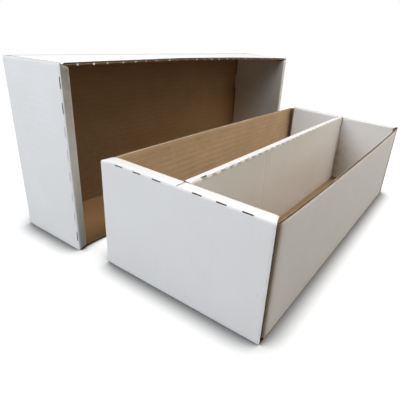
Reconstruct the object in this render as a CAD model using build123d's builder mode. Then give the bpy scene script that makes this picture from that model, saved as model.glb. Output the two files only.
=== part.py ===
from build123d import *
import math
import os

# Two-row card storage box of folded corrugated board, with its lift-off lid beside it.
# X is the tray's width, Y its length and Z is up. The origin is the middle of the tray's base.
# Every panel between two creases is one piece. All sizes are in millimetres.

# The tray, measured outside
tray_width = 170.0
tray_length = 390.0
tray_height = 106.0

# The lid, which drops over the tray
lid_depth = 88.0
lid_side_clearance = 1.2
lid_end_clearance = 2.6

# Corrugated board: two liners with a fluted medium between them
board = 2.8
liner = 0.4
medium = 0.3
flute_pitch = 6.4
crease_radius = 0.4

# Layers folded over each other
layer_gap = 0.2
panel_clearance = 1.2
wall_drop = 0.2
tray_flap_length = 62.0
lid_flap_length = 70.0

# Divider between the two rows
divider_width = 7.6
divider_clearance = 0.6
divider_flap_length = 48.0

# Split in the rolled rim, on the divider's centre line
rim_split = 0.8

# Lock tabs at the foot of the rolled ends, and the slots that take them
tab_width = 24.0
tab_length = 2.4
slot_clearance = 0.6
foot_notch_width = 9.0
foot_notch_height = 5.0

# Perforated creases
slit_length = 9.5
slit_pitch = 20.9
slit_width = 0.9
divider_slit_length = 7.0
divider_slit_pitch = 13.0
divider_slit_margin = 6.0

# Where the lid stands: on one long wall, open side towards the tray
lid_gap = 34.5
lid_shift = 5.7

# Sizes that follow
bend = board + crease_radius
tray_rim = 4 * board + 3 * layer_gap
lid_rim = 3 * board + 2 * layer_gap
lid_width = tray_width + 2 * (board + lid_side_clearance)
lid_length = tray_length + 2 * (lid_rim + lid_end_clearance)
lid_back = -(tray_width / 2 + lid_gap + lid_depth)

tray_frame = Location((0, 0, 0))
lid_frame = Plane(origin=(lid_back, lid_shift, lid_width / 2), x_dir=(0, 0, -1), z_dir=(1, 0, 0)).location

os.makedirs("parts", exist_ok=True)


def placed(frame, plane):
    """A plane given in a tray's or the lid's own frame, where that frame stands."""
    return Plane(frame * plane.location)


def board_plane(frame, origin, along, into):
    """Plane whose x runs along a panel and whose y runs from the panel's printed face into the board."""
    across = Vector(*along).cross(Vector(*into))
    return placed(frame, Plane(origin=origin, x_dir=along, z_dir=across))


def board_section(start, end, bent_start=False, bent_end=False):
    """Section of one panel. A bent end is half of a rounded crease, cut on the mitre."""
    flat_start = start + bend if bent_start else start
    flat_end = end - bend if bent_end else end
    with BuildLine() as outline:
        Line((flat_start, 0), (flat_end, 0))
        Line((flat_start, board), (flat_end, board))
        if bent_end:
            outer = CenterArc((flat_end, bend), bend, -90, 45)
            inner = CenterArc((flat_end, bend), crease_radius, -90, 45)
            Line(outer @ 1, inner @ 1)
        else:
            Line((flat_end, 0), (flat_end, board))
        if bent_start:
            outer = CenterArc((flat_start, bend), bend, -90, -45)
            inner = CenterArc((flat_start, bend), crease_radius, -90, -45)
            Line(outer @ 1, inner @ 1)
        else:
            Line((flat_start, 0), (flat_start, board))
    make_face(outline.edges())


def flute_cells(start, end, mode):
    """Triangular hollows of the flutes, which leave two liners and a zigzag medium between them."""
    rise = board - 2 * liner
    slope = math.atan2(rise, flute_pitch / 2)
    foot = flute_pitch / 2 - medium / 2 / math.sin(slope)
    tip = rise - medium / 2 / math.cos(slope)
    count = int((end - start) // flute_pitch)
    middle = (start + end) / 2
    with Locations((middle, liner)):
        with GridLocations(flute_pitch, 0, count, 1):
            Polygon((-foot, 0), (foot, 0), (0, tip), mode=mode)
    with Locations((middle, board - liner)):
        with GridLocations(flute_pitch, 0, count - 1, 1):
            Polygon((-foot, 0), (0, -tip), (foot, 0), mode=mode)


def open_flute(edge, inward, mode):
    """Flute left open where a panel is cut along it."""
    tip = edge + inward * flute_pitch / 3
    Polygon((edge, liner), (edge, board - liner), (tip, board / 2), mode=mode)


def crease_slits(frame, centre, along, normal, places, slit):
    """Cut a row of slits through a crease, in the plane of its mitre."""
    with BuildSketch(placed(frame, Plane(origin=centre, x_dir=along, z_dir=normal))) as slits:
        with Locations(*[(place, 0) for place in places]):
            Rectangle(slit, slit_width)
    extrude(slits.sketch, amount=2 * bend, both=True, mode=Mode.SUBTRACT)


def save(builder, name):
    """Name a finished piece and write its file."""
    builder.part.label = name
    export_step(builder.part, f"parts/{name}.step")


class FoldedTray:
    """Tray of one folded blank: floor, two single walls, and two ends rolled over the corner flaps."""

    def __init__(self, frame, width, length, height, rim, flap_length, slit_places):
        self.frame = frame
        self.width = width
        self.length = length
        self.height = height
        self.rim = rim
        self.flap_length = flap_length
        self.slit_places = slit_places
        self.wall_top = height - board - wall_drop
        self.corner_y = length / 2 - board - layer_gap
        self.inner_y = length / 2 - rim
        self.inner_x = width / 2 - board - panel_clearance

    def floor(self, tab_places):
        """Floor, with half a crease along each side and a slot for each lock tab."""
        with BuildPart() as floor:
            with BuildSketch(board_plane(self.frame, (0, 0, 0), (1, 0, 0), (0, 0, 1))):
                board_section(-self.width / 2, self.width / 2, True, True)
                flute_cells(-self.width / 2 + bend, self.width / 2 - bend, Mode.SUBTRACT)
            extrude(amount=self.length / 2 - bend, both=True)
            for end in (-1, 1):
                edge = (0, end * self.length / 2, 0)
                with BuildSketch(board_plane(self.frame, edge, (0, -end, 0), (0, 0, 1))):
                    board_section(0, 2 * bend, True, False)
                extrude(amount=self.width / 2 - bend, both=True)
            with BuildSketch(placed(self.frame, Plane.XY)):
                for end in (-1, 1):
                    slot_y = end * (self.inner_y + board / 2)
                    with Locations(*[(x, slot_y) for x in tab_places]):
                        Rectangle(tab_width + slot_clearance, board + slot_clearance)
            extrude(amount=board, mode=Mode.SUBTRACT)
        return floor

    def long_wall(self, side):
        """Single wall, creased to the floor and to its two corner flaps, cut open along its top."""
        face_x = side * self.width / 2
        with BuildPart() as wall:
            with BuildSketch(board_plane(self.frame, (face_x, 0, 0), (0, 0, 1), (-side, 0, 0))):
                board_section(0, self.wall_top, True, False)
                flute_cells(bend, self.wall_top - flute_pitch / 3, Mode.SUBTRACT)
                open_flute(self.wall_top, -1, Mode.SUBTRACT)
            extrude(amount=self.corner_y - bend, both=True)
            for end in (-1, 1):
                corner = (face_x, end * self.corner_y, bend)
                with BuildSketch(board_plane(self.frame, corner, (0, -end, 0), (-side, 0, 0))):
                    board_section(0, 2 * bend, True, False)
                extrude(amount=-side * end * (self.wall_top - bend))
        return wall

    def corner_flap(self, side, end):
        """Flap that carries the wall round the corner, behind the outer end."""
        corner = (side * self.width / 2, end * self.corner_y, bend)
        with BuildPart() as flap:
            with BuildSketch(board_plane(self.frame, corner, (-side, 0, 0), (0, -end, 0))):
                board_section(0, self.flap_length, True, False)
            extrude(amount=side * end * (self.wall_top - bend))
        return flap

    def outer_end(self, end):
        """Outer end, across the full width, with its flutes upright and open at both sides."""
        edge = (0, end * self.length / 2, 0)
        with BuildPart() as outer:
            with BuildSketch(board_plane(self.frame, edge, (0, 0, 1), (0, -end, 0))):
                board_section(0, self.height, True, True)
            extrude(amount=self.width / 2, both=True)
            foot = (0, end * self.length / 2, bend)
            with BuildSketch(board_plane(self.frame, foot, (1, 0, 0), (0, -end, 0))):
                flute_cells(-self.width / 2 + flute_pitch / 2, self.width / 2 - flute_pitch / 2, Mode.ADD)
                for side in (-1, 1):
                    open_flute(side * self.width / 2, -side, Mode.ADD)
            extrude(amount=-end * (self.height - 2 * bend), mode=Mode.SUBTRACT)
            self.cut_slits(end)
        return outer

    def rim_band(self, end, from_x, to_x):
        """Top of a rolled end, from the outer crease to the inner one, drawn in beside each long wall."""
        middle = (from_x + to_x) / 2
        edge = (middle, end * self.length / 2, self.height)
        with BuildPart() as band:
            with BuildSketch(board_plane(self.frame, edge, (0, -end, 0), (0, 0, -1))):
                board_section(0, self.rim, True, True)
            extrude(amount=(to_x - from_x) / 2, both=True)
            with BuildSketch(placed(self.frame, Plane.XY.offset(self.height - 2 * bend))):
                for side in (-1, 1):
                    outer_corner = (side * self.width / 2, end * self.length / 2)
                    inner_corner = (side * self.inner_x, end * self.inner_y)
                    beside = (side * self.width / 2, end * self.inner_y)
                    Polygon(outer_corner, inner_corner, beside)
            extrude(amount=2 * bend, mode=Mode.SUBTRACT)
            self.cut_slits(end)
        return band

    def inner_end(self, end, from_x, to_x, tab_places, notch_places=()):
        """Inner end, folded down to the floor, with its lock tabs in the floor's slots."""
        middle = (from_x + to_x) / 2
        edge = (middle, end * self.inner_y, self.height)
        with BuildPart() as inner:
            with BuildSketch(board_plane(self.frame, edge, (0, 0, -1), (0, end, 0))):
                board_section(0, self.height - board, True, False)
            extrude(amount=(to_x - from_x) / 2, both=True)
            with BuildSketch(placed(self.frame, Plane.XY.offset(board))):
                with Locations(*[(x, end * (self.inner_y + board / 2)) for x in tab_places]):
                    Rectangle(tab_width, board)
            extrude(amount=-tab_length)
            if notch_places:
                with BuildSketch(placed(self.frame, Plane.XY.offset(board))):
                    with Locations(*[(x, end * (self.inner_y + board / 2)) for x in notch_places]):
                        Rectangle(foot_notch_width, board)
                extrude(amount=foot_notch_height, mode=Mode.SUBTRACT)
        return inner

    def cut_slits(self, end):
        """Slits along an end's outer crease, cut in both panels that meet there."""
        crease = (0, end * self.length / 2, self.height)
        crease_slits(self.frame, crease, (1, 0, 0), (0, end, 1), self.slit_places, slit_length)


def make_tray():
    """Tray: the rolled ends are split in two halves, one for each row."""
    places = int(tray_width / 2 // slit_pitch)
    slits = [k * slit_pitch for k in range(1 - places, places) if k != 0]
    tray = FoldedTray(tray_frame, tray_width, tray_length, tray_height, tray_rim, tray_flap_length, slits)
    row_inner = divider_width / 2 + divider_clearance
    tab_x = (row_inner + tray.inner_x) / 2
    notch_x = row_inner + foot_notch_width / 2
    save(tray.floor((-tab_x, tab_x)), "tray_floor")
    for side, side_name in ((-1, "left"), (1, "right")):
        save(tray.long_wall(side), f"tray_{side_name}_wall")
        for end, end_name in ((-1, "front"), (1, "back")):
            save(tray.corner_flap(side, end), f"tray_{end_name}_{side_name}_flap")
            rim_x = sorted((side * rim_split / 2, side * tray_width / 2))
            save(tray.rim_band(end, *rim_x), f"tray_{end_name}_{side_name}_rim")
            inner_x = sorted((side * row_inner, side * tray.inner_x))
            inner = tray.inner_end(end, *inner_x, (side * tab_x,), (side * notch_x,))
            save(inner, f"tray_{end_name}_{side_name}_inner_end")
    for end, end_name in ((-1, "front"), (1, "back")):
        save(tray.outer_end(end), f"tray_{end_name}_end")


def make_divider():
    """Divider: a strip folded into a long arch, its four end flaps held inside the rolled ends."""
    band_y = tray_length / 2 - tray_rim - divider_clearance
    flap_y = tray_length / 2 - 2 * (board + layer_gap)
    top = tray_height - board - wall_drop
    slit_count = int(2 * (band_y - divider_slit_margin) // divider_slit_pitch)
    slits = [(k - (slit_count - 1) / 2) * divider_slit_pitch for k in range(slit_count)]

    def cut_slits():
        crease = (divider_width / 2, 0, tray_height)
        crease_slits(tray_frame, crease, (0, 1, 0), (1, 0, 1), slits, divider_slit_length)

    with BuildPart() as band:
        with BuildSketch(board_plane(tray_frame, (-divider_width / 2, 0, tray_height), (1, 0, 0), (0, 0, -1))):
            board_section(0, divider_width, True, True)
        extrude(amount=band_y, both=True)
        cut_slits()
    save(band, "divider_top_band")

    for side, side_name in ((-1, "left"), (1, "right")):
        edge = (side * divider_width / 2, 0, tray_height)
        back_x = side * (divider_width / 2 - board)
        with BuildPart() as panel:
            with BuildSketch(board_plane(tray_frame, edge, (0, 0, -1), (-side, 0, 0))):
                board_section(0, tray_height - board, True, False)
            extrude(amount=band_y, both=True)
            with BuildSketch(board_plane(tray_frame, (back_x, 0, board), (0, 1, 0), (side, 0, 0))):
                board_section(-flap_y, flap_y, True, True)
            extrude(amount=-side * (top - board))
            if side > 0:
                cut_slits()
        save(panel, f"divider_{side_name}_panel")

        for end, end_name in ((-1, "front"), (1, "back")):
            with BuildPart() as flap:
                corner = (back_x, end * flap_y, board)
                with BuildSketch(board_plane(tray_frame, corner, (side, 0, 0), (0, -end, 0))):
                    board_section(0, divider_flap_length, True, False)
                extrude(amount=-side * end * (top - board))
            save(flap, f"divider_{end_name}_{side_name}_flap")


def make_lid():
    """Lid: the same folded form, wider and longer by the tray's board, with whole rolled ends."""
    places = int(lid_width / 2 // slit_pitch)
    slits = [(k + 0.5) * slit_pitch for k in range(-places, places)]
    lid = FoldedTray(lid_frame, lid_width, lid_length, lid_depth, lid_rim, lid_flap_length, slits)
    tab_x = lid.inner_x / 2
    save(lid.floor((-tab_x, tab_x)), "lid_panel")
    for side, side_name in ((-1, "upper"), (1, "lower")):
        save(lid.long_wall(side), f"lid_{side_name}_wall")
        for end, end_name in ((-1, "front"), (1, "back")):
            save(lid.corner_flap(side, end), f"lid_{end_name}_{side_name}_flap")
    for end, end_name in ((-1, "front"), (1, "back")):
        save(lid.outer_end(end), f"lid_{end_name}_end")
        save(lid.rim_band(end, -lid_width / 2, lid_width / 2), f"lid_{end_name}_rim")
        save(lid.inner_end(end, -lid.inner_x, lid.inner_x, (-tab_x, tab_x)), f"lid_{end_name}_inner_end")


make_tray()
make_divider()
make_lid()
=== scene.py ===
import math
import bmesh
import bpy
import numpy as np
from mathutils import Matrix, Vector


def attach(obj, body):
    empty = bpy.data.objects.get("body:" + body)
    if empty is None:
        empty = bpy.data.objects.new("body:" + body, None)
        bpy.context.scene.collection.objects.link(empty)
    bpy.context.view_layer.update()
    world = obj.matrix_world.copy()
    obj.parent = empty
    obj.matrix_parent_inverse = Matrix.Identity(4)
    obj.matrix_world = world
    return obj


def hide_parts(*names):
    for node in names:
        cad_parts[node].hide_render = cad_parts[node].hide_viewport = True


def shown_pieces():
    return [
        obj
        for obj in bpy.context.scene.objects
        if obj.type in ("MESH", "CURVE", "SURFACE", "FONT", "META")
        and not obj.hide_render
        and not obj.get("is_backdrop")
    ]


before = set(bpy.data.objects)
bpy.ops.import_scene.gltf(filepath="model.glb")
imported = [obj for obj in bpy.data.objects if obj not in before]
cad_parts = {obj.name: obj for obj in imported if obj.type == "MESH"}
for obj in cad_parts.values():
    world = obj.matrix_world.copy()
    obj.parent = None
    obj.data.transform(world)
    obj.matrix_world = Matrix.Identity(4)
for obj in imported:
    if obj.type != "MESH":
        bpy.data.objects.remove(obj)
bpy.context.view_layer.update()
print("frame loaded:", len(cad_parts), "nodes")

mm = 0.001  # lengths are written in millimetres
halfFold = math.pi / 4  # two boards share a right-angled crease

sheet = {  # the corrugated board
    "thickness": 2.8 * mm, "liner": 0.4 * mm, "mediumPaper": 0.24 * mm, "mediumPlay": 0.12 * mm,
    "flutePitch": 6.4 * mm, "creaseRadius": 0.4 * mm, "layerGap": 0.2 * mm, "slitWidth": 1.7 * mm,
    "ripple": 0.015 * mm, "rippleFade": 4 * mm,  # flutes showing through the liners, and where they fade out
    "sway": 0.16 * mm, "swayFade": 24 * mm,  # slow unevenness of a panel, fading towards a held edge
    "swayWaves": ((0.23, 0.11), (0.13, 0.31), (0.09, 0.17)), "swayShift": 0.1,  # its wave lengths in metres
    "swayPhases": (1.7, 2.3), "patchGap": 0.61,  # by these, each panel's unevenness and pattern are its own
    "crush": 0.7 * mm, "crushReach": 2.2 * mm,  # a cut edge is pressed flat by the knife
    "pressedShare": 0.4, "seam": 1.5 * mm,  # a cut along the flutes closes on a seam at this depth
    "gridStep": 11 * mm, "creaseSteps": (0.8 * mm, 2.2 * mm, 5 * mm),  # the grid that shapes a panel
    "rimSquareness": 3.2, "cornerSquareness": 1.25,  # 2 gives round creases, higher values sharper ones
    "sharpAngle": math.radians(32),  # between faces that aren't shaded as one
    "slitStops": (-0.5, -0.38, -0.22, 0.0, 0.22, 0.38, 0.5), "slitEase": 0.22,  # in slit lengths
    "taperZone": 9 * mm,  # beside a rim's ends
    "dentWidth": 1.3 * mm, "creaseWear": 2.2 * mm, "cutWear": 1.6 * mm,  # how far a mark or wear reaches
    "wearShift": 0.22, "soilShift": 1.3,  # in bends: a crease's middle line, and where painted shade starts to fade
    "soilDown": 1.6,  # how soon painted shade changes down a panel
}
thick = sheet["thickness"]
bend = thick + sheet["creaseRadius"]
slitTurn = math.asin(sheet["slitWidth"] / 2 / bend)
foldTurns = [halfFold, halfFold - slitTurn, 0.22, 0.05]  # the grid lines of a half crease
tiny, beyond = 0.01 * mm, 1.0  # a rounding allowance, and a place past any board's edge


# helpers for node trees

def addNode(tree, kind, inputs=None, **settings):
    # a node with its settings, and its inputs linked or set; gives back its outputs
    node = tree.nodes.new(kind)
    for name, value in settings.items():
        setattr(node, name, value)
    for key, given in (inputs or {}).items():
        for value in given if isinstance(given, list) else [given]:
            if isinstance(value, bpy.types.NodeSocket):
                tree.links.new(value, node.inputs[key])
            else:
                node.inputs[key].default_value = value
    return node.outputs


def calc(tree, operation, first, second=None, third=None):
    values = {i: v for i, v in enumerate((first, second, third)) if v is not None}
    return addNode(tree, "ShaderNodeMath", values, operation=operation)[0]


def times(tree, first, second):
    return calc(tree, "MULTIPLY", first, second)


def blendColours(tree, mask, first, second):
    return addNode(tree, "ShaderNodeMix", {0: mask, 6: first, 7: second}, data_type="RGBA")[2]


def remap(tree, value, low, high, newLow=0.0, newHigh=1.0):
    inputs = {"Value": value, "From Min": low, "From Max": high, "To Min": newLow, "To Max": newHigh}
    return addNode(tree, "ShaderNodeMapRange", inputs, interpolation_type="SMOOTHSTEP")["Result"]


def noise(tree, place, scale, detail, roughness=0.5, distortion=0.0):
    inputs = {"Vector": place, "Scale": scale, "Detail": detail, "Roughness": roughness, "Distortion": distortion}
    return addNode(tree, "ShaderNodeTexNoise", inputs)["Fac"]


def newGroup(name, kind, inputs, outputs):
    # an empty group; an input comes with its default value, or with its kind where it has none
    tree = bpy.data.node_groups.new(name, kind)
    for socketName, value in inputs.items():
        socketKind = {float: "Float", int: "Int"}.get(type(value), value)
        socket = tree.interface.new_socket(socketName, in_out="INPUT", socket_type=f"NodeSocket{socketKind}")
        if socketKind != value:
            socket.default_value = value
    for socketName, socketKind in outputs.items():
        tree.interface.new_socket(socketName, in_out="OUTPUT", socket_type=f"NodeSocket{socketKind}")
    return tree, tree.nodes.new("NodeGroupInput").outputs, tree.nodes.new("NodeGroupOutput").inputs


def newObject(name, data):
    made = bpy.data.objects.new(name, data)
    bpy.context.scene.collection.objects.link(made)
    return made


# finishes: shared effects

def paperClouds():
    tree, given, result = newGroup(
        "paperClouds", "ShaderNodeTree",
        {"Place": "Vector", "Cloud scale": 26.0, "Fibre scale": 900.0, "Stretch": 0.25},
        {"Cloud": "Float", "Fibre": "Float"})
    flow = addNode(tree, "ShaderNodeCombineXYZ", {"X": 1.0, "Y": given["Stretch"], "Z": 1.0})
    drawn = addNode(tree, "ShaderNodeVectorMath", {0: given["Place"], 1: flow[0]}, operation="MULTIPLY")
    cloud = noise(tree, given["Place"], given["Cloud scale"], detail=5.0, roughness=0.6)
    fibre = noise(tree, drawn[0], given["Fibre scale"], detail=4.0, roughness=0.7, distortion=0.6)
    tree.links.new(remap(tree, cloud, 0.3, 0.7), result["Cloud"])
    tree.links.new(remap(tree, fibre, 0.28, 0.72), result["Fibre"])
    return tree


def fluteLines():
    tree, given, result = newGroup(
        "fluteLines", "ShaderNodeTree", {"Place": "Vector", "Pitch": sheet["flutePitch"], "Unevenness": 0.6},
        {"Valley": "Float"})
    parts = addNode(tree, "ShaderNodeSeparateXYZ", {0: given["Place"]})
    slow = noise(tree, given["Place"], scale=14.0, detail=2.0)
    phase = times(tree, calc(tree, "DIVIDE", parts["X"], given["Pitch"]), math.tau)
    wave = calc(tree, "COSINE", calc(tree, "ADD", phase, times(tree, slow, given["Unevenness"])))
    valley = calc(tree, "POWER", calc(tree, "MULTIPLY_ADD", wave, 0.5, 0.5), 3.0)
    strength = remap(tree, slow, 0.35, 0.65, newLow=0.35)
    tree.links.new(times(tree, valley, strength), result["Valley"])
    return tree


def fibreFlecks():
    tree, given, result = newGroup(
        "fibreFlecks", "ShaderNodeTree", {"Place": "Vector", "Density": 0.5, "Scale": 420.0}, {"Mask": "Float"})
    flow = addNode(tree, "ShaderNodeVectorMath", {0: given["Place"], 1: (1.0, 0.35, 1.0)}, operation="MULTIPLY")
    cells = addNode(tree, "ShaderNodeTexVoronoi", {"Vector": flow[0], "Scale": given["Scale"], "Randomness": 1.0})
    tint = addNode(tree, "ShaderNodeSeparateColor", {0: cells["Color"]})
    chosen = remap(tree, calc(tree, "SUBTRACT", given["Density"], tint[0]), 0.0, 0.05)
    core = remap(tree, cells["Distance"], 0.12, 0.34, newLow=1.0, newHigh=0.0)
    tree.links.new(times(tree, chosen, core), result["Mask"])
    return tree


def scuffAndPaintedShade():
    tree, given, result = newGroup(
        "scuffAndPaintedShade", "ShaderNodeTree",
        {"Place": "Vector", "Wear and shade": "Vector", "Crease amount": 0.5, "Cut amount": 0.5},
        {"Mask": "Float", "Painted shade": "Float"})
    near = addNode(tree, "ShaderNodeSeparateXYZ", {0: given["Wear and shade"]})
    rub = noise(tree, given["Place"], scale=130.0, detail=6.0, roughness=0.65)
    creased = times(tree, near["X"], given["Crease amount"])
    cut = times(tree, near["Y"], given["Cut amount"])
    mask = times(tree, calc(tree, "ADD", creased, cut), remap(tree, rub, 0.48, 0.66))
    tree.links.new(calc(tree, "MINIMUM", mask, 1.0), result["Mask"])
    # the third part of the wear attribute is painted shade, made a little uneven
    uneven = remap(tree, rub, 0.3, 0.7, newLow=0.85)
    tree.links.new(times(tree, near["Z"], uneven), result["Painted shade"])
    return tree


effects = {"clouds": paperClouds(), "flutes": fluteLines(), "flecks": fibreFlecks(), "scuffAndShade": scuffAndPaintedShade()}


def boardFinish(name, look):
    material = bpy.data.materials.new(name)
    material.use_nodes = True
    tree = material.node_tree
    shader = tree.nodes["Principled BSDF"].inputs
    place = addNode(tree, "ShaderNodeAttribute", attribute_name="boardPlace")["Vector"]
    wearAndShade = addNode(tree, "ShaderNodeAttribute", attribute_name="boardWearAndShade")["Vector"]

    def useEffect(effect, inputs):
        return addNode(tree, "ShaderNodeGroup", {"Place": place, **inputs}, node_tree=effects[effect])

    clouds = useEffect("clouds", {"Cloud scale": look["cloudScale"], "Fibre scale": look["fibreScale"],
                                  "Stretch": look["stretch"]})
    valley = useEffect("flutes", {})["Valley"]
    flecks = useEffect("flecks", {"Density": look["fleckDensity"], "Scale": look["fleckScale"]})
    scuffAndShade = useEffect("scuffAndShade", {"Wear and shade": wearAndShade, "Crease amount": look["creaseWear"], "Cut amount": look["cutWear"]})
    layers = {  # laid over the plain colour in this order
        "streakColour": times(tree, clouds["Fibre"], look["streak"]),
        "lineColour": times(tree, valley, look["lineStrength"]),
        "fleckColour": times(tree, flecks["Mask"], look["fleckStrength"]),
        # worn kraft at creases and cut edges, then painted shade
        "wornColour": scuffAndShade["Mask"], "soilColour": scuffAndShade["Painted shade"],
    }
    colour = blendColours(tree, clouds["Cloud"], (*look["colour"], 1), (*look["cloudColour"], 1))
    for layerColour, mask in layers.items():
        colour = blendColours(tree, mask, colour, (*look[layerColour], 1))
    tree.links.new(colour, shader["Base Color"])
    rough = remap(tree, clouds["Fibre"], 0.0, 1.0, *look["rough"])
    tree.links.new(calc(tree, "MULTIPLY_ADD", scuffAndShade["Mask"], look["wornRough"], rough), shader["Roughness"])
    height = calc(tree, "MULTIPLY_ADD", valley, -look["lineDepth"], clouds["Fibre"])
    height = calc(tree, "MULTIPLY_ADD", scuffAndShade["Mask"], -look["wornDepth"], height)
    bump = addNode(tree, "ShaderNodeBump", {"Height": height, "Strength": look["bump"],
                                            "Distance": look["bumpDistance"]})
    tree.links.new(bump["Normal"], shader["Normal"])
    shader["Specular IOR Level"].default_value = look["specular"]
    return material


whiteLook = {  # bleached outer liner
    "colour": (0.80, 0.80, 0.795), "cloudColour": (0.775, 0.772, 0.762), "cloudScale": 22.0,
    "fibreScale": 1100.0, "stretch": 0.35, "streak": 0.10, "streakColour": (0.74, 0.73, 0.71),
    "lineColour": (0.70, 0.69, 0.675), "lineStrength": 0.08, "lineDepth": 1.2,
    "fleckColour": (0.50, 0.44, 0.36), "fleckDensity": 0.04, "fleckScale": 330.0, "fleckStrength": 0.22,
    "wornColour": (0.72, 0.63, 0.50), "wornRough": 0.15, "wornDepth": 0.8, "creaseWear": 0.30, "cutWear": 0.6,
    # soilColour: the colour that painted shade darkens towards
    "soilColour": (0.27, 0.215, 0.15), "rough": (0.52, 0.68), "bump": 0.35, "bumpDistance": 0.00012,
    "specular": 0.35,
}
brownLook = dict(  # unbleached inner liner
    whiteLook, colour=(0.49, 0.34, 0.20), cloudColour=(0.43, 0.29, 0.165), cloudScale=34.0,
    fibreScale=700.0, stretch=0.06, streak=0.45, streakColour=(0.55, 0.40, 0.255),
    lineColour=(0.37, 0.25, 0.145), lineStrength=0.16, fleckColour=(0.20, 0.13, 0.075), fleckDensity=0.12,
    fleckScale=300.0, fleckStrength=0.25, wornColour=(0.52, 0.40, 0.27), creaseWear=0.5, cutWear=0.5,
    soilColour=(0.16, 0.11, 0.07), rough=(0.70, 0.86), bump=0.45, bumpDistance=0.00015, specular=0.25)
rawLook = dict(brownLook, colour=(0.34, 0.23, 0.135), cloudColour=(0.27, 0.175, 0.10), streak=0.3,
               fibreScale=1400.0, bumpDistance=0.0002)  # the hidden sides of the liners
mediumLook = dict(brownLook, colour=(0.62, 0.49, 0.345), cloudColour=(0.55, 0.43, 0.295), lineStrength=0.0,
                  streakColour=(0.66, 0.54, 0.40))
looks = {
    "trayWhite": whiteLook,
    "dividerWhite": dict(whiteLook, lineStrength=0.16, cloudColour=(0.77, 0.765, 0.75)),
    # lidWhite: a more neutral colour of painted shade
    "lidWhite": dict(whiteLook, soilColour=(0.235, 0.22, 0.18)),
    "trayBrown": brownLook,
    "lidBrown": dict(brownLook, colour=(0.37, 0.215, 0.10), cloudColour=(0.33, 0.185, 0.083),
                     streakColour=(0.42, 0.26, 0.13), soilColour=(0.12, 0.078, 0.038), lineColour=(0.24, 0.13, 0.06)),
    "rawBrown": rawLook,
    "cutEdge": dict(brownLook, colour=(0.72, 0.62, 0.48), cloudColour=(0.64, 0.54, 0.40), lineStrength=0.0,
                    streakColour=(0.76, 0.67, 0.54), fibreScale=1500.0, fleckStrength=0.35),
    "shadedPressedEdge": dict(rawLook, colour=(0.20, 0.15, 0.10), cloudColour=(0.15, 0.11, 0.072),
                        streakColour=(0.27, 0.205, 0.14)),  # a shut edge, darker than a cut one with the painted shade of its narrow gap
    "mediumBrown": mediumLook,
    "paintedShadeCut": dict(mediumLook, colour=(0.05, 0.04, 0.03), cloudColour=(0.04, 0.03, 0.02), streak=0.02,
                    creaseWear=0.05),  # near-black painted shade inside slits and on edges that light hardly reaches
    # the rows' floor: kraft darkened with painted shade of the deep rows
    "shadedFloorBrown": dict(brownLook, colour=(0.27, 0.18, 0.10), cloudColour=(0.23, 0.15, 0.082),
                       streakColour=(0.33, 0.23, 0.14)),
}
finishes = {name: boardFinish(name, look) for name, look in looks.items()}
print("finishes ready:", ", ".join(finishes))


# a board's grid, shape, wear and painted shade

def smooth(value):
    value = np.clip(value, 0, 1)
    return value * value * (3 - 2 * value)


def mergedStops(low, high, step, stops):
    # even steps from low to high, with the wanted stops in place of the steps beside them
    count = max(1, int(round((high - low) / step)))
    room = 0.3 * step
    keep = [low] + sorted({round(s, 7) for s in stops if low < s < high}) + [high]
    even = [s for s in np.linspace(low, high, count + 1) if min(abs(s - k) for k in keep) > room]
    return sorted(keep + even)


def panelLines(length, foldLow, foldHigh, step, stops):
    # one direction of a panel's grid: where each line lies in the flat, and how far it has turned
    low = bend if foldLow else 0.0
    high = length - bend if foldHigh else length
    if high - low > 4 * sheet["gridStep"]:  # a wide panel has extra lines beside its creases
        stops = stops + [low + s for s in sheet["creaseSteps"] if foldLow]
        stops = stops + [high - s for s in sheet["creaseSteps"] if foldHigh]
    flat = mergedStops(low, high, step, stops)
    place = [low] * (len(foldTurns) * foldLow) + flat + [high] * (len(foldTurns) * foldHigh)
    turn = [-t for t in foldTurns] * foldLow + [0.0] * len(flat) + foldTurns[::-1] * foldHigh
    return np.array(place), np.array(turn)


def sideDistances(panel, f, v):
    # how far points are from each side of a panel, and whether that side is a crease
    length, width = panel["size"]
    return zip((f, length - f, v, width - v), panel["folds"])


def slowSway(panel, a, b):
    # the layers of one end share this unevenness, so that they stay apart
    seed, value = panel["seed"], 0.0
    phaseA, phaseB = sheet["swayPhases"]
    for k, (sizeA, sizeB) in enumerate(sheet["swayWaves"]):
        waveA = np.sin(a / sizeA * math.tau + seed + phaseA * k)
        value = value + waveA * np.cos(b / sizeB * math.tau + phaseB * seed + k)
    return value / 2


def outward(panel, f, v):
    # how far a panel stands out: its slow sway, bulge and flare, the flutes' ripple, and dents
    length, width = panel["size"]
    fade, ripple = 1.0, 1.0
    for k, (distance, folded) in enumerate(sideDistances(panel, f, v)):
        start = bend if folded else 0.0
        if not (k == 1 and panel["topFree"]):
            fade = fade * smooth((distance - start) / sheet["swayFade"])
        ripple = ripple * smooth((distance - start) / sheet["rippleFade"])
    out = sheet["sway"] * slowSway(panel, f - length / 2 + sheet["swayShift"], v - width / 2) * fade
    rise = smooth(f / length) if panel["topFree"] else 0.0
    out = out + panel["bow"] * np.clip(np.sin(v / width * math.pi), 0, 1) ** panel["bowShape"] * rise
    out = out + panel["flare"] * np.clip(v / width, 0, 1) * rise
    flute = f if panel["fluteRun"] == "across" else v
    out = out + sheet["ripple"] * np.cos(flute / sheet["flutePitch"] * math.tau) * ripple
    for place, size in panel["dents"]:
        out = out - size * np.exp(-((v - place) / sheet["dentWidth"]) ** 2) * ripple
    return np.minimum(out, 0.0) if panel["resting"] else out


def squared(turned, power, depth):
    # how far a crease reaches out towards a sharp corner, most on its outer face
    corner = (np.cos(turned) ** power + np.sin(turned) ** power) ** (-1 / power)
    return 1 + (corner - 1) * np.clip(1 - depth / thick, 0, 1)


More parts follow.
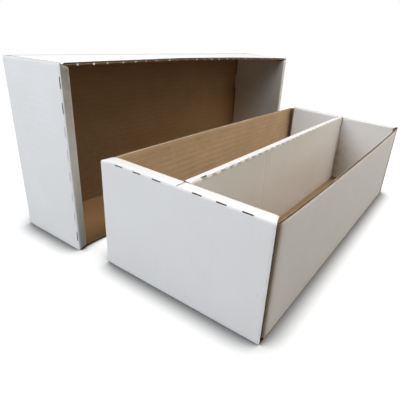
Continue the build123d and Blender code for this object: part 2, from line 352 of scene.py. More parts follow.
def onPanel(panel, f, v, turnF, turnV, lip, depth):
    # flat place, turn and depth of points on a panel -> their places in the frame
    length, width = panel["size"]
    turned, sideTurned = np.abs(turnF), np.abs(turnV)
    flatF, flatV = 1 - turned / halfFold, 1 - sideTurned / halfFold
    if panel["pressed"]:
        pressed = 1 - smooth((length - f) / (sheet["pressedShare"] * sheet["crushReach"]))
        within = (depth > sheet["liner"] + tiny) & (depth < thick - tiny)
        depth = depth + np.where(within, sheet["seam"] - depth, 0.0) * pressed
    # the creases at the two ends, then those at the two sides
    startSquare, endSquare, sideSquare = panel["squareness"]
    power = np.where(turnF < 0, startSquare, endSquare) + lip * divider["lipSquareness"]
    radius = (bend - depth) * squared(turned, power, depth)
    push = divider["lipPush"] * lip * turned / halfFold * (1 - depth / thick)
    foldF = f + np.sign(turnF) * (radius * np.sin(turned) + push * (turnF > 0))
    foldDepth = bend - radius * np.cos(turned) - push * (turnF < 0)
    sideDepth = thick - depth if panel["sidesOut"] else depth
    sideRadius = (bend - sideDepth) * squared(sideTurned, sideSquare, sideDepth)
    foldV = v + np.sign(turnV) * sideRadius * np.sin(sideTurned)
    sideFold = bend - sideRadius * np.cos(turnV)
    sideFold = thick - sideFold if panel["sidesOut"] else sideFold
    into = np.where(turnV != 0, sideFold, foldDepth)
    # crushed cut edges and unevenness
    crushed = 0.0
    for distance, folded in sideDistances(panel, f, v):
        if not folded:
            crushed = np.maximum(crushed, 1 - smooth(distance / sheet["crushReach"]))
    into = into + sheet["crush"] * crushed * (0.5 - depth / thick)
    into = into - outward(panel, f, v) * flatF * flatV
    if panel["lean"]:  # an inner end that has sprung out of its slots turns about its crease
        angle = panel["lean"] * flatF
        armF, armIn = foldF - bend, into - bend
        foldF = bend + armF * np.cos(angle) + armIn * np.sin(angle)
        into = bend + armIn * np.cos(angle) - armF * np.sin(angle)
        foldF = np.minimum(foldF, length - lock["tabLength"] - lock["footGap"])
    # a rim narrows towards its inner crease, and the divider's top strays
    insetLow, insetHigh = panel["taper"]
    zone = sheet["taperZone"]
    way = np.clip(foldF / length, 0, 1)
    foldV = foldV + insetLow * way * smooth((zone - v) / zone)
    foldV = foldV - insetHigh * way * smooth((v - (width - zone)) / zone)
    along, across, inward = panel["along"], panel["across"], panel["into"]
    if panel["drift"]:
        share = smooth(v / (divider["driftRise"] * width)) * smooth((width - v) / divider["driftFall"])
        share = share * (1 - way * panel["hangs"])
        foldF = foldF + panel["drift"] * share * along[0]
        into = into + panel["drift"] * share * inward[0]
    local = panel["corner"] + foldF[..., None] * along + foldV[..., None] * across + into[..., None] * inward
    return settled(panel["origin"] + local @ panel["turn"], panel["family"])


def settled(points, family):
    # corners that have sunk: the tray's front left one, and the lid's upper back crease
    x, y, z = np.moveaxis(points, -1, 0)
    if family == "tray":
        beside = 1 - smooth((x + tray["width"] / 2) / tray["sunkReach"][0])
        behind = 1 - smooth((y + tray["length"] / 2) / tray["sunkReach"][1])
        drop = tray["sunk"] * beside * behind * smooth((z - tray["height"] / 2) / (tray["height"] / 2))
    elif family == "lid":
        far = np.clip((y - lid["origin"][1]) / lid["length"] + 0.5, 0, 1)
        back = np.clip(1 - (x - lid["origin"][0]) / lid["height"], 0, 1)
        high = smooth((z - lid["sagFrom"]) / (lid["width"] - lid["sagFrom"]))
        drop = (lid["sag"][0] + (lid["sag"][1] - lid["sag"][0]) * far) * back * high
    else:
        return points
    return np.stack([x, y, z - drop], -1)


def boardPlaces(panel, f, v):
    # pattern coordinates: x runs across the flutes, y along them, each panel has its own patch
    x, y = (f, v) if panel["fluteRun"] == "across" else (v, f)
    return np.stack([x, y, np.zeros_like(x)], -1) + np.array([0.0, 0.0, sheet["patchGap"] * panel["seed"]])


def wearAndShadeAt(panel, f, v, face):
    # x: near a crease, y: near a cut edge, z: painted shade
    length, width = panel["size"]
    crease, cut = np.zeros_like(f), np.zeros_like(f)
    middle, begin = sheet["wearShift"] * bend, sheet["soilShift"] * bend
    for distance, folded in sideDistances(panel, f, v):
        if folded:
            crease = np.maximum(crease, np.exp(-np.abs(distance - middle) / sheet["creaseWear"]))
        else:
            cut = np.maximum(cut, np.exp(-np.abs(distance) / sheet["cutWear"]))
    # a darker line along a panel's first crease: a pressed score mark with painted crease shade
    soil = panel["scoreLineShade"][0] * np.exp(-((f - middle) / panel["scoreLineShade"][1]) ** 2)
    way = np.clip(f / length, 0, 1)
    # patches of painted shade, fading away from a panel's sides and changing down it
    for shadePatch in panel["soil"]:
        if shadePatch["face"] != face:
            continue
        fade = shadePatch["top"] + (1 - shadePatch["top"]) * smooth(sheet["soilDown"] * way)
        fromStart, fromEnd = np.clip(v - begin, 0, None), np.clip(width - v - begin, 0, None)
        spread = np.exp(-fromStart / (shadePatch["start"] + shadePatch["below"] * way)) if shadePatch["start"] else 0.0
        spread = np.maximum(spread, np.exp(-fromEnd / shadePatch["end"]) if shadePatch["end"] else 0.0)
        soil = np.maximum(soil, shadePatch["amount"] * spread * fade)
    return np.stack([crease, cut, soil], -1)


def makePlate(panel, rows, cols, keep, near, far, lip):
    # closed plate between two depths, over the kept cells of the grid
    (f, turnF), (v, turnV) = rows, cols
    shape = (len(f), len(v))
    grids = (f[:, None], v[None, :], turnF[:, None], turnV[None, :])
    f, v, turnF, turnV = (np.broadcast_to(a, shape) for a in grids)
    points = [onPanel(panel, f, v, turnF, turnV, lip, depth).reshape(-1, 3) for depth in (near, far)]
    index = np.arange(f.size).reshape(shape)
    a, b, c, d = index[:-1, :-1], index[1:, :-1], index[1:, 1:], index[:-1, 1:]
    faces = [np.stack([a, b, c, d], -1)[keep], np.stack([a, d, c, b], -1)[keep] + f.size]
    padded = np.pad(keep, 1)
    sides = []
    for (i, j), first, second in (((0, 1), a, d), ((2, 1), b, c), ((1, 0), a, b), ((1, 2), d, c)):
        edge = keep & ~padded[i:i + keep.shape[0], j:j + keep.shape[1]]
        sides.append(np.stack([first, second, second + f.size, first + f.size], -1)[edge])
    faces.append(np.concatenate(sides))
    kinds = np.repeat([0, 1, 2], [len(x) for x in faces])  # near face, far face, cut sides
    faces = np.concatenate(faces)
    turns = np.tile(np.maximum(np.abs(turnF), np.abs(turnV)).ravel(), 2)
    kinds = kinds + 3 * (turns[faces].min(1) > foldTurns[-1])  # the same three again for faces inside a crease
    unrolled = f + turnF * bend, v + turnV * bend
    place = np.tile(boardPlaces(panel, *unrolled).reshape(-1, 3), (2, 1))
    place[:, 2] += np.repeat([near, far], f.size)
    wearAndShade = wearAndShadeAt(panel, *unrolled, "outer" if near == 0.0 else "inner").reshape(-1, 3)
    return np.concatenate(points), faces, kinds, place, np.tile(wearAndShade, (2, 1))


def panelKeep(panel, rows, cols):
    # which cells of the grid are board, with and without the open slits
    middles, flats = [], []
    for k, (place, turn) in enumerate((rows, cols)):
        unrolled, size = place + turn * bend, panel["size"][k]
        middle = (unrolled[1:] + unrolled[:-1]) / 2
        low = bend if panel["folds"][2 * k] else -beyond
        high = size - bend if panel["folds"][2 * k + 1] else size + beyond
        middles.append(middle)
        flats.append((middle > low) & (middle < high))
    middleF, middleV = middles
    keep = flats[0][:, None] | flats[1][None, :]
    for f0, f1, v0, v1 in panel["holes"]:
        keep &= ~(((middleF > f0) & (middleF < f1))[:, None] & ((middleV > v0) & (middleV < v1))[None, :])
    whole = keep.copy()
    for end, places, slit, row in panel["slits"]:
        line = row if end == "start" else len(middleF) - 1 - row
        for place in places[:panel["openSlits"]]:
            keep[line, np.abs(middleV - place) < slit / 2] = False
    return keep, whole


def slitLips(panel, rows, cols):
    # how far each column stands out of the crease beside a slit
    (f, turnF), (v, turnV) = rows, cols
    lip = np.zeros((len(f), len(v)))
    for end, places, slit, row in panel["slits"]:
        side = turnF < 0 if end == "start" else turnF > 0
        for place in places:
            share = smooth((slit / 2 - np.abs(v - place)) / (sheet["slitEase"] * slit))
            lip += side[:, None] * share[None, :]
    return lip * panel["lips"]


# boards and their meshes

panels = {"tray": [], "divider": [], "lid": []}
plainPanel = {  # what a board is unless its piece says otherwise
    "faces": ("White", "Brown"), "edge": "cutEdge", "squareness": (sheet["rimSquareness"],) * 3,
    "holes": [], "slits": [], "openSlits": 1, "lips": 0.0, "dents": [], "soil": (), "scoreLineShade": (0.0, mm),
    "bow": 0.0, "bowShape": 1.0, "flare": 0.0, "lean": 0.0, "drift": 0.0, "hangs": False, "taper": (0.0, 0.0),
    "topFree": False, "sidesOut": False, "resting": False, "fluteInset": (0.0, 0.0),
}


def soiled(face, amount, start=0.0, end=0.0, below=0.0, top=1.0):
    # painted shade on one face of a panel, fading away from its two sides
    return {"face": face, "amount": amount, "start": start, "end": end, "below": below, "top": top}


def solidPiece(name, points, faces, attributes, materials, kinds=None):
    # kinds: each face's finish, on a board that is shaded smooth between its sharp edges
    mesh = bpy.data.meshes.new(name)
    mesh.from_pydata(points.tolist(), [], faces)
    for material in materials:
        mesh.materials.append(material)
    for attributeName, values in attributes.items():
        attribute = mesh.attributes.new(attributeName, "FLOAT_VECTOR", "POINT")
        attribute.data.foreach_set("vector", values.astype(np.float32).ravel())
    if kinds is not None:
        mesh.polygons.foreach_set("material_index", kinds.astype(np.int32))
    work = bmesh.new()
    work.from_mesh(mesh)
    bmesh.ops.recalc_face_normals(work, faces=work.faces)
    work.to_mesh(mesh)
    work.free()
    if kinds is not None:
        mesh.polygons.foreach_set("use_smooth", np.ones(len(mesh.polygons), bool))
        mesh.set_sharp_from_angle(angle=sheet["sharpAngle"])
    return newObject(name, mesh)


def faceFinish(family, face):
    if face == "Floor":
        return finishes["shadedFloorBrown"]
    if face == "Brown" and family == "divider":
        family = "tray"
    return finishes[family + face]


def makePanel(part, carton, corner, along, across, into, size, folds, fluteRun, **more):
    # a board of two liner plates; its fluted medium comes later
    family = carton["name"]
    node = f"{family}_{part}"
    vectors = {"origin": carton["origin"], "turn": carton["turn"], "corner": corner, "along": along,
               "across": across, "into": into}
    panel = {
        **plainPanel, **{key: np.array(value, float) for key, value in vectors.items()}, "node": node,
        "family": family, "size": size, "folds": folds, "fluteRun": fluteRun,
        "pressed": fluteRun == "across" and not folds[1], **more, **carton["boards"].get(part, {})}
    reach = sheet["crushReach"]
    lines = []
    for k, run in enumerate(("across", "along")):
        step = sheet["flutePitch"] / 4 if fluteRun == run else sheet["gridStep"]
        stops = [x for hole in panel["holes"] for x in hole[2 * k:2 * k + 2]]
        for inset in (sheet["pressedShare"] * reach, reach):
            stops += [inset, size[k] - inset]
        if run == "along":
            for end, places, slit, row in panel["slits"]:
                stops += [p + s * slit for p in places for s in sheet["slitStops"]]
        lines.append(panelLines(size[k], folds[2 * k], folds[2 * k + 1], step, stops))
    keep, whole = panelKeep(panel, *lines)
    lip = slitLips(panel, *lines)
    outer = makePlate(panel, *lines, keep, 0.0, sheet["liner"], lip)
    inner = makePlate(panel, *lines, whole, thick - sheet["liner"], thick, lip)
    # faces inside creases and slits, and the hidden face of a pressed edge, get the near-black painted shade
    materials = [faceFinish(family, panel["faces"][0]), finishes["paintedShadeCut" if panel["pressed"] else "rawBrown"],
                 faceFinish(family, panel["faces"][1]), finishes[panel["edge"]], finishes["paintedShadeCut"]]
    # each plate's six kinds of face as a number in that list
    kinds = np.concatenate([np.array([0, 1, 3, 0, 4, 4])[outer[2]], np.array([1, 2, 3, 4, 2, 4])[inner[2]]])
    faces = np.concatenate([outer[1], inner[1] + len(outer[0])])
    points, places, wearsAndShade = (np.concatenate([outer[k], inner[k]]) for k in (0, 3, 4))
    used, compact = np.unique(faces, return_inverse=True)
    piece = solidPiece(node + "_board", points[used], compact.reshape(faces.shape).tolist(),
                       {"boardPlace": places[used], "boardWearAndShade": wearsAndShade[used]}, materials, kinds)
    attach(piece, carton["body"])
    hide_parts(node)
    panels[family].append(panel)


# the tray and the lid: a floor, two walls with corner flaps, and two rolled ends

toRight, toBack, up, down = (1, 0, 0), (0, 1, 0), (0, 0, 1), (0, 0, -1)
ends = ((-1, "front"), (1, "back"))
lock = {  # tabs at the foot of the rolled ends, their slots, and the gap beside the divider
    "tabWidth": 24 * mm, "tabLength": 2.4 * mm, "slotClearance": 0.6 * mm,
    "notchWidth": 9 * mm, "notchHeight": 5 * mm, "rimSplit": 0.8 * mm,
    "panelClearance": 1.2 * mm, "wallDrop": 0.2 * mm, "sideGap": 1.3 * mm, "footGap": 0.1 * mm,
}
divider = {  # the folded strip between the rows
    "width": 7.6 * mm, "clearance": 0.6 * mm, "flap": 48 * mm, "squareness": 2.3,
    "slitLength": 7 * mm, "slitPitch": 13 * mm, "slitMargin": 6 * mm, "slitShift": 4 * mm,
    "lipSquareness": 9.0, "lipPush": 0.8 * mm,  # the crease beside a slit
    "drift": -1.8 * mm, "driftRise": 0.75, "driftFall": 20 * mm,  # the top strays sideways towards the back
    "creaseMarks": ((-59 * mm, 0.62 * mm), (-53 * mm, 0.52 * mm)),  # faint upright dents in the right panel
}
tray = {  # the two-row tray
    "body": "tray", "slot": "tray_board", "name": "tray", "floor": "floor",
    "origin": (0, 0, 0), "turn": (toRight, toBack, up),
    "width": 170 * mm, "length": 390 * mm, "height": 106 * mm,
    "rimBoards": 4, "flap": 62 * mm, "sides": ("left", "right"), "footSquareness": 8.0,
    "slitLength": 8.9 * mm, "slits": {-62.4: 1, -41.6: 1, -20.0: 1, 19.7: 0, 41.3: 0, 63.1: 0},  # place: fold row
    "sunk": 2.0 * mm, "sunkReach": (14 * mm, 22 * mm),  # the front left corner of the rim
    "boards": {  # the long walls bulge at the top, and the left one leans out towards the back
        # painted shade, as darker patches: the floor's back end, the left wall inside by its back corner, the right
        # wall beside both corners, and where the divider shades the back right inner end, with a little over all of
        # it
        "floor": {"resting": True, "faces": ("White", "Floor"), "soil": (soiled("inner", 0.75, end=90 * mm),)},
        "left_wall": {"bow": 2.6 * mm, "bowShape": 0.55, "flare": 3.6 * mm,
                      "soil": (soiled("inner", 0.9, end=9 * mm),)},
        "right_wall": {"bow": 2.5 * mm, "bowShape": 0.55, "edge": "shadedPressedEdge",
                       "soil": (soiled("outer", 0.95, start=2.6 * mm, end=2.6 * mm),)},
        "front_end": {"edge": "paintedShadeCut"}, "front_left_rim": {"edge": "paintedShadeCut"},
        "front_right_rim": {"edge": "paintedShadeCut"},
        "back_right_inner_end": {"soil": (soiled("outer", 0.95, start=6 * mm, below=48 * mm, top=0.2),
                                          soiled("outer", 0.17, end=400 * mm))}},
}
lid = {  # the lid, standing on its lower wall with its open side towards the tray
    "body": "lid", "slot": "lid_board", "name": "lid", "floor": "panel",
    "origin": (-207.5 * mm, 5.7 * mm, 89 * mm), "turn": (down, toBack, toRight),
    "width": 178 * mm, "length": 412.8 * mm, "height": 88 * mm,
    "rimBoards": 3, "flap": 70 * mm, "sides": ("upper", "lower"), "footSquareness": 2.4,
    "slitLength": 9.5 * mm,  # row 2 of a fold is pressed nearly shut
    "slits": {-73.2: 1, -52.3: 1, -31.4: 2, -10.5: 2, 10.5: 2, 31.4: 2, 52.3: 2, 73.2: 1},
    "sag": (3.5 * mm, 0.7 * mm), "sagFrom": 70 * mm,  # the upper back crease hangs, most at the front
    "boards": {
        # painted shade, as darker patches: inside the lid panel, inside the lower wall, on the front rim and on the
        # back inner end
        "panel": {"scoreLineShade": (0.7, 2.5 * mm),
                  "soil": (soiled("inner", 0.95, start=90 * mm, below=150 * mm, top=0.25),)},
        "upper_wall": {"bow": 2.6 * mm, "flare": 0.6 * mm, "edge": "shadedPressedEdge", "scoreLineShade": (1.0, 8 * mm)},
        "lower_wall": {"resting": True, "soil": (soiled("inner", 0.35, start=150 * mm),)},
        "front_end": {"scoreLineShade": (1.0, 1.3 * mm)}, "back_end": {"scoreLineShade": (1.0, 1.3 * mm)},
        "front_rim": {"soil": (soiled("outer", 0.95, start=100 * mm),)},
        "back_inner_end": {"lean": math.radians(10.5),  # it has sprung out of its slots
                           "soil": (soiled("outer", 0.3, end=200 * mm, top=3.2),)}},
}


def rimWidth(carton):
    return carton["rimBoards"] * thick + (carton["rimBoards"] - 1) * sheet["layerGap"]


def makeCarton(carton, inside, halves):
    # inside: half the room for a divider; halves: the rims and inner ends, with their stretches of the width
    width, length, height = carton["width"], carton["length"], carton["height"]
    rim = rimWidth(carton)
    wallTop = height - thick - lock["wallDrop"]
    cornerY = length / 2 - thick - sheet["layerGap"]
    innerY = length / 2 - rim
    innerX = width / 2 - thick - lock["panelClearance"]
    foot, top, corner = carton["footSquareness"], sheet["rimSquareness"], sheet["cornerSquareness"]
    tabs = [s * (inside + innerX) / 2 for s in (-1, 1)]
    slotReach = (thick + lock["slotClearance"]) / 2
    slotHalf = (lock["tabWidth"] + lock["slotClearance"]) / 2
    slots = []
    for end, endName in ends:
        middle = end * (innerY + thick / 2) + length / 2
        slots += [(x - slotHalf + width / 2, x + slotHalf + width / 2, middle - slotReach, middle + slotReach)
                  for x in tabs]
    makePanel(carton["floor"], carton, (-width / 2, -length / 2, 0), toRight, toBack, up, (width, length),
              (1, 1, 1, 1), "across", holes=slots, seed=0.4, squareness=(foot,) * 3,
              fluteInset=(rim + 2 * mm, rim + 2 * mm))  # no flutes where the slots are
    for side, sideName in zip((-1, 1), carton["sides"]):
        makePanel(f"{sideName}_wall", carton, (side * width / 2, -cornerY, 0), up, toBack, (-side, 0, 0),
                  (wallTop, 2 * cornerY), (1, 0, 1, 1), "across", topFree=True, seed=1.1 + side,
                  squareness=(foot, foot, corner))
        for end, endName in ends:
            makePanel(f"{endName}_{sideName}_flap", carton, (side * width / 2, end * cornerY, bend),
                      (-side, 0, 0), up, (0, -end, 0), (carton["flap"], wallTop - bend), (1, 0, 0, 0),
                      "along", seed=2.0, squareness=(corner,) * 3)
    for end, endName in ends:
        makePanel(f"{endName}_end", carton, (-width / 2, end * length / 2, 0), up, toRight, (0, -end, 0),
                  (height, width), (1, 1, 0, 0), "along", seed=3.0 + end, squareness=(foot, top, top),
                  slits=[("end", [place * mm + width / 2], carton["slitLength"], row)
                         for place, row in carton["slits"].items()])
        for halfName, x0, x1, inner0, inner1 in halves(innerX):
            label = f"{endName}_{halfName}" if halfName else endName
            inset, drop, wide = width / 2 - innerX, height - thick, inner1 - inner0
            taper = (inset if abs(x0 + width / 2) < mm else 0.0, inset if abs(x1 - width / 2) < mm else 0.0)
            makePanel(f"{label}_rim", carton, (x0, end * length / 2, height), (0, -end, 0), toRight, down,
                      (rim, x1 - x0), (1, 1, 0, 0), "along", taper=taper, seed=4.0 + end + x0)
            # at its foot an inner end is cut away between the tabs, and beside the divider
            edges = [0.0]
            for x in tabs:
                if inner0 < x < inner1:
                    edges += [x + s * lock["tabWidth"] / 2 - inner0 for s in (-1, 1)]
            edges.append(wide)
            holes = [(drop, beyond, low - beyond * (low == 0.0), high + beyond * (high == wide))
                     for low, high in zip(edges[0::2], edges[1::2])]
            if halfName:
                half = lock["notchWidth"] / 2
                x = inner1 - half if inner1 < 0 else inner0 + half
                holes.append((drop - lock["notchHeight"], beyond, x - half - inner0 - mm, x + half - inner0 + mm))
            makePanel(f"{label}_inner_end", carton, (inner0, end * innerY, height), down, toRight,
                      (0, end, 0), (drop + lock["tabLength"], wide), (1, 0, 0, 0), "along", holes=holes,
                      seed=5.0 + end, fluteInset=(0.0, lock["notchHeight"] + lock["tabLength"] + mm))


room = divider["width"] / 2 + divider["clearance"]
makeCarton(tray, room, lambda innerX: (
    ("left", -tray["width"] / 2, -lock["rimSplit"] / 2, -innerX + lock["sideGap"], -room),
    ("right", lock["rimSplit"] / 2, tray["width"] / 2, room, innerX)))
print("tray boards ready:", len(panels["tray"]))
makeCarton(lid, 0.0, lambda innerX: (("", -lid["width"] / 2, lid["width"] / 2, -innerX, innerX),))
print("lid boards ready:", len(panels["lid"]))


# the divider: a top band, two hanging panels and four end flaps

def makeDivider():
    stand = dict(tray, name="divider", slot="divider_board", boards={})
    half = divider["width"] / 2
    square = (divider["squareness"],) * 3
    bandY = tray["length"] / 2 - rimWidth(tray) - divider["clearance"]
    flapY = tray["length"] / 2 - 2 * (thick + sheet["layerGap"])
    drop = tray["height"] - thick
    flapTop = drop - lock["wallDrop"]
    extra = flapY - bandY
    count = int(2 * (bandY - divider["slitMargin"]) // divider["slitPitch"])
    slits = [(k - (count - 1) / 2) * divider["slitPitch"] + divider["slitShift"] for k in range(count)]
    makePanel("top_band", stand, (-half, -bandY, tray["height"]), toRight, toBack, down,
              (divider["width"], 2 * bandY), (1, 1, 0, 0), "along", seed=0.7, lips=1.0, squareness=square,
              slits=[("end", [p + bandY for p in slits], divider["slitLength"], 0)], drift=divider["drift"])
    for side, sideName in ((-1, "left"), (1, "right")):
        marked = {}
        if side > 0:
            marked = {"slits": [("start", [p + flapY for p in slits], divider["slitLength"], 0)],
                      "dents": [(y + flapY, size) for y, size in divider["creaseMarks"]]}
        holes = [(-beyond, bend, -beyond, extra), (-beyond, bend, 2 * flapY - extra, beyond)]
        makePanel(f"{sideName}_panel", stand, (side * half, -flapY, tray["height"]), down, toBack,
                  (-side, 0, 0), (drop, 2 * flapY), (1, 0, 1, 1), "along", holes=holes, lips=1.0, openSlits=0,
                  sidesOut=True, seed=1.6, squareness=square, drift=divider["drift"], hangs=True, **marked)
        for end, endName in ends:
            makePanel(f"{endName}_{sideName}_flap", stand, (side * (half - thick), end * flapY, thick),
                      (side, 0, 0), up, (0, -end, 0), (divider["flap"], flapTop - thick), (1, 0, 0, 0),
                      "across", faces=("Brown", "White"), seed=2.0, squareness=square,
                      # painted shade on the flap's inner face, near its foot
                      soil=(soiled("inner", 1.0, start=14 * mm),))


makeDivider()
print("divider boards ready:", len(panels["divider"]))


# helpers for grown pieces

def paintedTree(tree, geometry, finish, result):
    real = addNode(tree, "GeometryNodeRealizeInstances", {"Geometry": geometry})
    painted = addNode(tree, "GeometryNodeSetMaterial", {"Geometry": real[0], "Material": finish})
    tree.links.new(painted[0], result)
    return tree


def grownMesh(tree, values):
    # runs a geometry tree with these inputs and gives back plain points and faces
    holder = newObject("holder", bpy.data.meshes.new("holder"))
    modifier = holder.modifiers.new("grow", "NODES")
    modifier.node_group = tree
    for item in tree.interface.items_tree:
        if item.item_type == "SOCKET" and item.in_out == "INPUT" and item.name in values:
            modifier[item.identifier] = values[item.name]
    graph = bpy.context.evaluated_depsgraph_get()
    mesh = bpy.data.meshes.new_from_object(holder.evaluated_get(graph))
    points = np.zeros(len(mesh.vertices) * 3)
    mesh.vertices.foreach_get("co", points)
    faces = [tuple(p.vertices) for p in mesh.polygons]
    bpy.data.objects.remove(holder)
    bpy.data.meshes.remove(mesh)
    return points.reshape(-1, 3), faces


# fluted medium between the liners

medium = {
    "recess": {"across": (0.9 * mm, 0.2 * mm), "along": (0.2 * mm, 0.35 * mm)},  # back from cut edges
    "linesPerFlute": 8, "rowStep": 20 * mm, "weld": 0.01 * mm,
}


def flutedTree():
    tree, given, result = newGroup(
        "flutedMedium", "GeometryNodeTree",
        {"Across": 0.1, "Along": 0.1, "Pitch": sheet["flutePitch"], "Rise": 1.8 * mm, "Paper": sheet["mediumPaper"],
         "Lines": 80, "Rows": 4, "Finish": "Material"},
        {"Sheet": "Geometry"})
    grid = addNode(tree, "GeometryNodeMeshGrid", {"Size X": given["Across"], "Size Y": given["Along"],
                                                  "Vertices X": given["Lines"], "Vertices Y": given["Rows"]})
    position = addNode(tree, "GeometryNodeInputPosition")
    parts = addNode(tree, "ShaderNodeSeparateXYZ", {0: position[0]})
    turns = calc(tree, "DIVIDE", parts["X"], given["Pitch"])
    wave = calc(tree, "SINE", times(tree, turns, math.tau))
    lift = times(tree, times(tree, wave, 0.5), given["Rise"])
    offset = addNode(tree, "ShaderNodeCombineXYZ", {"Z": lift})
    waved = addNode(tree, "GeometryNodeSetPosition", {"Geometry": grid["Mesh"], "Offset": offset[0]})
    skin = addNode(tree, "GeometryNodeExtrudeMesh",
                   {"Mesh": waved[0], "Offset Scale": given["Paper"], "Individual": False})
    under = addNode(tree, "GeometryNodeFlipFaces", {"Mesh": waved[0]})
    both = addNode(tree, "GeometryNodeJoinGeometry", {0: [skin["Mesh"], under[0]]})
    closed = addNode(tree, "GeometryNodeMergeByDistance", {"Geometry": both[0], "Distance": medium["weld"]})
    return paintedTree(tree, closed[0], given["Finish"], result["Sheet"])


flutedMedium = flutedTree()


def mediumArea(panel):
    # the flat part of a panel, a little back from its cut edges
    (length, width), (low, high) = panel["size"], panel["fluteInset"]
    backF, backV = medium["recess"][panel["fluteRun"]]
    backs = zip(panel["folds"], (backF, backF, backV, backV))
    f0, f1, v0, v1 = (bend if folded else back for folded, back in backs)
    if panel["fluteRun"] == "along":
        return f0 + low, length - f1 - high, v0, width - v1
    return f0, length - f1, v0 + low, width - v1 - high


def makeFluting(family, body):
    points, faces, places, start = [], [], [], 0
    finish = finishes["mediumBrown"]
    for panel in panels[family]:
        f0, f1, v0, v1 = mediumArea(panel)
        across, along = (f1 - f0, v1 - v0) if panel["fluteRun"] == "across" else (v1 - v0, f1 - f0)
        rise = thick - 2 * sheet["liner"] - sheet["mediumPaper"] - sheet["mediumPlay"]
        values = {"Across": across, "Along": along, "Rise": rise, "Finish": finish,
                  "Lines": int(across / sheet["flutePitch"] * medium["linesPerFlute"]) + 1,
                  "Rows": int(along / medium["rowStep"]) + 2}
        flat, cells = grownMesh(flutedMedium, values)
        x, y = flat[:, 0] + across / 2, flat[:, 1] + along / 2
        depth = flat[:, 2] + thick / 2 - sheet["mediumPaper"] / 2
        f, v = (x + f0, y + v0) if panel["fluteRun"] == "across" else (y + f0, x + v0)
        none = np.zeros_like(f)
        points.append(onPanel(panel, f, v, none, none, none, depth))
        places.append(boardPlaces(panel, f, v))
        faces += [[i + start for i in cell] for cell in cells]
        start += len(flat)
    places = np.concatenate(places)
    piece = solidPiece(family + "_fluting", np.concatenate(points), faces,
                       {"boardPlace": places, "boardWearAndShade": np.zeros_like(places)}, [finish], np.zeros(len(faces)))
    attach(piece, body)
    print(family, "fluting ready:", len(faces), "faces")


for family, body, slotName in (("tray", "tray", "tray_board"), ("divider", "tray", "divider_board"),
                               ("lid", "lid", "lid_board")):
    makeFluting(family, body)


# paper nicks left by the knife along the lid's free edge

nicks = {
    "wall": "lid_upper_wall", "pitch": 15.7 * mm, "radius": 1.2 * mm, "paper": 0.5 * mm, "seed": 11,
    "shift": ((-2.4 * mm, 0.0, -0.3 * mm), (2.4 * mm, 0.0, 0.5 * mm)),  # lowest and highest of each
    "turn": ((math.pi / 2 - 0.2, -0.5, -0.15), (math.pi / 2 + 0.2, 0.5, 0.15)),
    "size": ((0.2, 0.2, 0.8), (1.25, 1.0, 1.3)),
}


def nickTree():
    tree, given, result = newGroup(
        "paperNicks", "GeometryNodeTree",
        {"Count": 24, "Pitch": 15.7 * mm, "Radius": 1.5 * mm, "Paper": 0.5 * mm, "Seed": 7, "Finish": "Material"},
        {"Nicks": "Geometry"})

    def chance(span):
        inputs = {"Min": nicks[span][0], "Max": nicks[span][1], "Seed": given["Seed"]}
        return addNode(tree, "FunctionNodeRandomValue", inputs, data_type="FLOAT_VECTOR")["Value"]

    step = addNode(tree, "ShaderNodeCombineXYZ", {"X": given["Pitch"]})
    line = addNode(tree, "GeometryNodeMeshLine", {"Count": given["Count"], "Offset": step[0]})
    moved = addNode(tree, "GeometryNodeSetPosition", {"Geometry": line[0], "Offset": chance("shift")})
    disc = addNode(tree, "GeometryNodeMeshCylinder",
                   {"Vertices": 10, "Radius": given["Radius"], "Depth": given["Paper"]})
    turned = addNode(tree, "FunctionNodeEulerToRotation", {"Euler": chance("turn")})
    placed = addNode(tree, "GeometryNodeInstanceOnPoints", {"Points": moved[0], "Instance": disc["Mesh"],
                                                            "Rotation": turned[0], "Scale": chance("size")})
    return paintedTree(tree, placed[0], given["Finish"], result["Nicks"])


def makeNicks():
    panel = next(p for p in panels["lid"] if p["node"] == nicks["wall"])
    length, width = panel["size"]
    count = int(width / nicks["pitch"])
    values = {"Count": count, "Pitch": nicks["pitch"], "Radius": nicks["radius"], "Paper": nicks["paper"],
              "Seed": nicks["seed"], "Finish": finishes["lidWhite"]}
    flat, cells = grownMesh(nickTree(), values)
    f = length + flat[:, 1]
    v = flat[:, 0] + (width - (count - 1) * nicks["pitch"]) / 2
    still = np.zeros_like(f)
    points = onPanel(panel, f, v, still, still, still, flat[:, 2] + thick)
    attributes = {"boardPlace": boardPlaces(panel, f, v), "boardWearAndShade": np.zeros((len(f), 3))}
    return solidPiece(nicks["wall"] + "_nicks", points, cells, attributes, [finishes["lidWhite"]])


nickPiece = makeNicks()
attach(nickPiece, "lid")
print("nicks ready:", len(nickPiece.data.polygons), "faces")


# camera, floor and light

view = {
    "place": (0.1668, -0.3820, 0.2152), "angles": (65.613, -5.300, 32.303),
    "lens": 32.58, "sensor": 36, "shift": (-0.1113, -0.0142), "clip": (0.01, 20),
}
lamps = {  # place, size in metres, watts, colour
    "frontLight": ((-0.35, -1.5, 0.85), 1.1, 24.4, (0.92, 0.95, 1.0)),
    "leftLight": ((-1.4, -0.3, 0.95), 0.9, 9.3, (0.58, 0.78, 1.0)),
    "steepLight": ((0.42, 0.1, 1.5), 0.7, 9.9, (1.0, 0.925, 0.855)),
    "highRightLight": ((0.7, 0.25, 1.35), 0.9, 9.9, (1.0, 0.925, 0.855)),
    "backRightLight": ((1.15, 0.95, 0.8), 0.9, 5.6, (1.0, 0.98, 0.83)),
}
lampAim = (0.0, 0.0, 0.05)
studio = {
    "floorHalf": 3.0, "floorColour": (0.10, 0.10, 0.10),
    "floorBounce": (0.14, 0.125, 0.11),  # how pale the floor is for light thrown back on to the box
    "shadowReach": 28 * mm, "shadowFull": 0.40,  # the openness at which the contact shadow is darkest
}


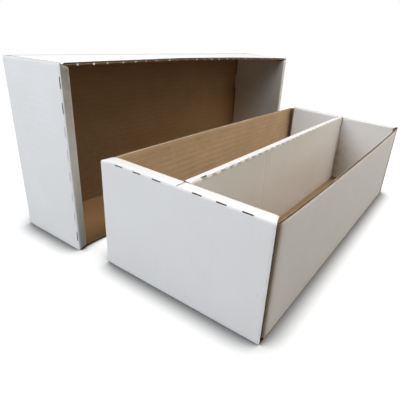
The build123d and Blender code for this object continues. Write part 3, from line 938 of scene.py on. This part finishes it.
def makeCamera():
    data = bpy.data.cameras.new("camera")
    data.sensor_width, data.lens = view["sensor"], view["lens"]
    data.shift_x, data.shift_y = view["shift"]
    data.clip_start, data.clip_end = view["clip"]
    camera = newObject("camera", data)
    camera.location = view["place"]
    camera.rotation_euler = [math.radians(a) for a in view["angles"]]
    bpy.context.scene.camera = camera


def makeLamp(name, place, size, watts, colour):
    data = bpy.data.lights.new(name, "AREA")
    data.shape, data.size, data.energy, data.color = "SQUARE", size, watts, colour
    lamp = newObject(name, data)
    lamp.location = place
    lamp.rotation_euler = (Vector(lampAim) - Vector(place)).to_track_quat("-Z", "Y").to_euler()


def seenDirectly(tree):
    path = addNode(tree, "ShaderNodeLightPath")
    seen = calc(tree, "MAXIMUM", path["Is Camera Ray"], path["Is Glossy Ray"])
    return calc(tree, "MAXIMUM", seen, path["Is Transmission Ray"])


def makeWorld():
    # white where it is seen directly, and no light on the box
    world = bpy.data.worlds.new("studio")
    world.use_nodes = True
    tree = world.node_tree
    tree.nodes.clear()
    unlit = addNode(tree, "ShaderNodeBackground", {"Strength": 0.0})
    white = addNode(tree, "ShaderNodeBackground", {"Color": (1, 1, 1, 1), "Strength": 1.0})
    mix = addNode(tree, "ShaderNodeMixShader", {0: seenDirectly(tree), 1: unlit[0], 2: white[0]})
    addNode(tree, "ShaderNodeOutputWorld", {"Surface": mix[0]})
    bpy.context.scene.world = world


def makeFloor():
    half = studio["floorHalf"]
    mesh = bpy.data.meshes.new("floor")
    mesh.from_pydata([(-half, -half, 0), (half, -half, 0), (half, half, 0), (-half, half, 0)], [], [(0, 1, 2, 3)])
    floor = newObject("floor", mesh)
    material = bpy.data.materials.new("paleFloor")
    material.use_nodes = True
    tree = material.node_tree
    tree.nodes.clear()
    matt = addNode(tree, "ShaderNodeBsdfDiffuse", {"Color": (*studio["floorColour"], 1)})
    hidden = addNode(tree, "ShaderNodeBsdfDiffuse", {"Color": (*studio["floorBounce"], 1)})
    # seen directly the floor glows white, dimmed near the box into a painted contact shadow
    near = addNode(tree, "ShaderNodeAmbientOcclusion", {"Distance": studio["shadowReach"]})
    strength = remap(tree, near["AO"], studio["shadowFull"], 1.0)
    glow = addNode(tree, "ShaderNodeEmission", {"Color": (1, 1, 1, 1), "Strength": strength})
    lit = addNode(tree, "ShaderNodeAddShader", {0: matt[0], 1: glow[0]})
    mix = addNode(tree, "ShaderNodeMixShader", {0: seenDirectly(tree), 1: hidden[0], 2: lit[0]})
    addNode(tree, "ShaderNodeOutputMaterial", {"Surface": mix[0]})
    mesh.materials.append(material)
    floor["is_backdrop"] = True


makeCamera()
for lampName, settings in lamps.items():
    makeLamp(lampName, *settings)
makeWorld()
makeFloor()
bpy.context.scene.view_settings.view_transform = "Standard"
print("camera, floor and light ready")

triangles = sum(len(p.data.polygons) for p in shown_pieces() if p.type == "MESH") * 2
print("about", triangles, "triangles in all")
